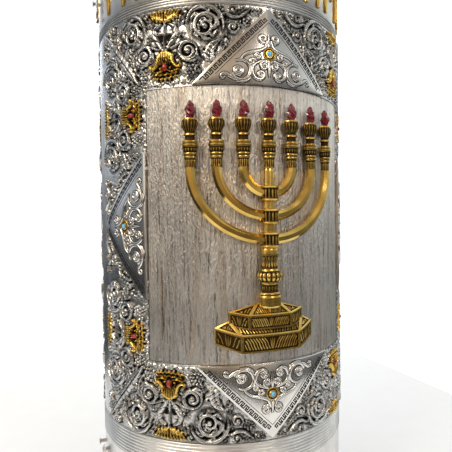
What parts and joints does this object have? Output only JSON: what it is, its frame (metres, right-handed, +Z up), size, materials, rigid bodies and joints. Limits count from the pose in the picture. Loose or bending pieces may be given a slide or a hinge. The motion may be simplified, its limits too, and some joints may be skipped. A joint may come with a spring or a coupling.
{
  "type": "torah scroll case",
  "caption": "Round upright scroll case in chased silver, hinged into two hollow halves, with a gilt branched lamp in relief on the front panel.",
  "frame": {"origin": "on the floor, under the middle of the closed case", "axes": "+Z up along the case, the lamp faces -Y, the hinges are towards +X and the clasps towards -X"},
  "size_m": [0.31, 0.3037, 0.7316],
  "materials": {
    "carcass_wood": "satin lacquered wood",
    "silver_moulding": "polished silver plate with brush lines",
    "silver_hatched": "silver with fine crossed engraving",
    "silver_relief": "bright chased silver, black in the recesses",
    "silver_bark": "silver with upright combed grain",
    "silver_plaque": "satin silver with engraved border",
    "blue_stone": "polished opaque stone",
    "gilt_cast": "antiqued cast gilding",
    "gilt_polished": "polished gilding",
    "red_crystal": "faceted dark red crystal",
    "hardware_silver": "satin silvered metal"
  },
  "bodies": {
    "front_half": {"front_carcass": "carcass_wood", "front_plinth": "silver_moulding", "front_lower_band": "silver_hatched", "front_upper_band": "silver_hatched", "front_cornice": "silver_moulding", "front_dome": "silver_moulding", "front_finial": "silver_moulding", "front_relief_frame": "silver_relief", "front_panel": "silver_bark", "front_plaque_top": "silver_plaque", "front_plaque_bottom": "silver_plaque", "front_plaque_right": "silver_plaque", "front_plaque_left": "silver_plaque", "front_stone_top": "blue_stone", "front_stone_bottom": "blue_stone", "front_stone_right": "blue_stone", "front_stone_left": "blue_stone", "menorah_foot": "gilt_cast", "menorah_stem": "gilt_cast", "menorah_arm_inner": "gilt_polished", "menorah_arm_middle": "gilt_polished", "menorah_arm_outer": "gilt_polished", "menorah_cup_1": "gilt_cast", "menorah_cup_2": "gilt_cast", "menorah_cup_3": "gilt_cast", "menorah_cup_4": "gilt_cast", "menorah_cup_5": "gilt_cast", "menorah_cup_6": "gilt_cast", "menorah_cup_7": "gilt_cast", "menorah_flame_1": "red_crystal", "menorah_flame_2": "red_crystal", "menorah_flame_3": "red_crystal", "menorah_flame_4": "red_crystal", "menorah_flame_5": "red_crystal", "menorah_flame_6": "red_crystal", "menorah_flame_7": "red_crystal", "hinge_lower_front_leaf": "hardware_silver", "hinge_lower_pin": "hardware_silver", "hinge_upper_front_leaf": "hardware_silver", "hinge_upper_pin": "hardware_silver"},
    "back_half": {"back_carcass": "carcass_wood", "back_plinth": "silver_moulding", "back_lower_band": "silver_hatched", "back_upper_band": "silver_hatched", "back_cornice": "silver_moulding", "back_dome": "silver_moulding", "back_finial": "silver_moulding", "back_relief_frame": "silver_relief", "back_panel": "silver_bark", "back_plaque_top": "silver_plaque", "back_plaque_bottom": "silver_plaque", "back_plaque_right": "silver_plaque", "back_plaque_left": "silver_plaque", "hinge_lower_back_leaf": "hardware_silver", "clasp_lower_stud": "hardware_silver", "hinge_upper_back_leaf": "hardware_silver", "clasp_upper_stud": "hardware_silver"},
    "clasp_lower": {"clasp_lower_hook": "hardware_silver"},
    "clasp_upper": {"clasp_upper_hook": "hardware_silver"}
  },
  "joints": [
    {"name": "case_hinge", "type": "hinge", "parent": "front_half", "child": "back_half", "pos_m": [0.155, 0, 0.3], "axis": [0, 0, -1], "range_deg": [0, 165]},
    {"name": "clasp_lower_pivot", "type": "hinge", "parent": "front_half", "child": "clasp_lower", "pos_m": [-0.145, -0.011, 0.076], "axis": [-1, 0, 0], "range_deg": [-20, 270]},
    {"name": "clasp_upper_pivot", "type": "hinge", "parent": "front_half", "child": "clasp_upper", "pos_m": [-0.145, -0.011, 0.5805], "axis": [-1, 0, 0], "range_deg": [-20, 270]}
  ]
}
